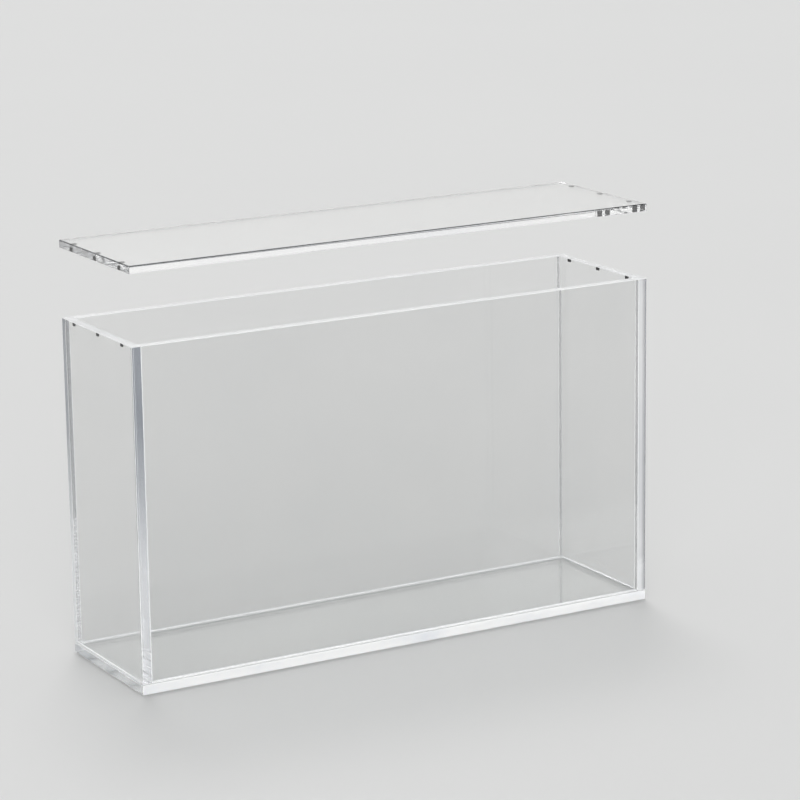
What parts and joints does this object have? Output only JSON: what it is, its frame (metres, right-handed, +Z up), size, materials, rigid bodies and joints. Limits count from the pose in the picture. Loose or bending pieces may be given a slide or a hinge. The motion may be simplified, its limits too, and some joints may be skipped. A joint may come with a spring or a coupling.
{
  "type": "display case",
  "caption": "Long, narrow, open-topped display case of clear bonded acrylic sheet, with a flat lift-off lid that disc magnets in the end walls and the lid hold in place.",
  "frame": {"origin": "middle of the base plate's underside, on the surface that the case stands on", "axes": "+X along the length to the right, -Y out of the front wall, +Z up; the lid is at rest where the picture shows it, 36 mm above the rim"},
  "size_m": [0.3, 0.082, 0.217],
  "materials": {
    "clear_acrylic": "clear cast acrylic sheet with polished edges",
    "magnet_nickel": "dark nickel plating on small disc magnets"
  },
  "bodies": {
    "case": {"base_plate": "clear_acrylic", "front_wall": "clear_acrylic", "back_wall": "clear_acrylic", "left_end_wall": "clear_acrylic", "right_end_wall": "clear_acrylic", "case_magnet_left_front": "magnet_nickel", "case_magnet_left_middle": "magnet_nickel", "case_magnet_left_back": "magnet_nickel", "case_magnet_right_front": "magnet_nickel", "case_magnet_right_middle": "magnet_nickel", "case_magnet_right_back": "magnet_nickel"},
    "lid": {"lid_panel": "clear_acrylic", "lid_magnet_left_front": "magnet_nickel", "lid_magnet_left_middle": "magnet_nickel", "lid_magnet_left_back": "magnet_nickel", "lid_magnet_right_front": "magnet_nickel", "lid_magnet_right_middle": "magnet_nickel", "lid_magnet_right_back": "magnet_nickel"}
  },
  "joints": [
    {"name": "lid_lift", "type": "slide", "parent": "case", "child": "lid", "axis": [0, 0, 1], "range_m": [-0.0359, 0.064]}
  ]
}
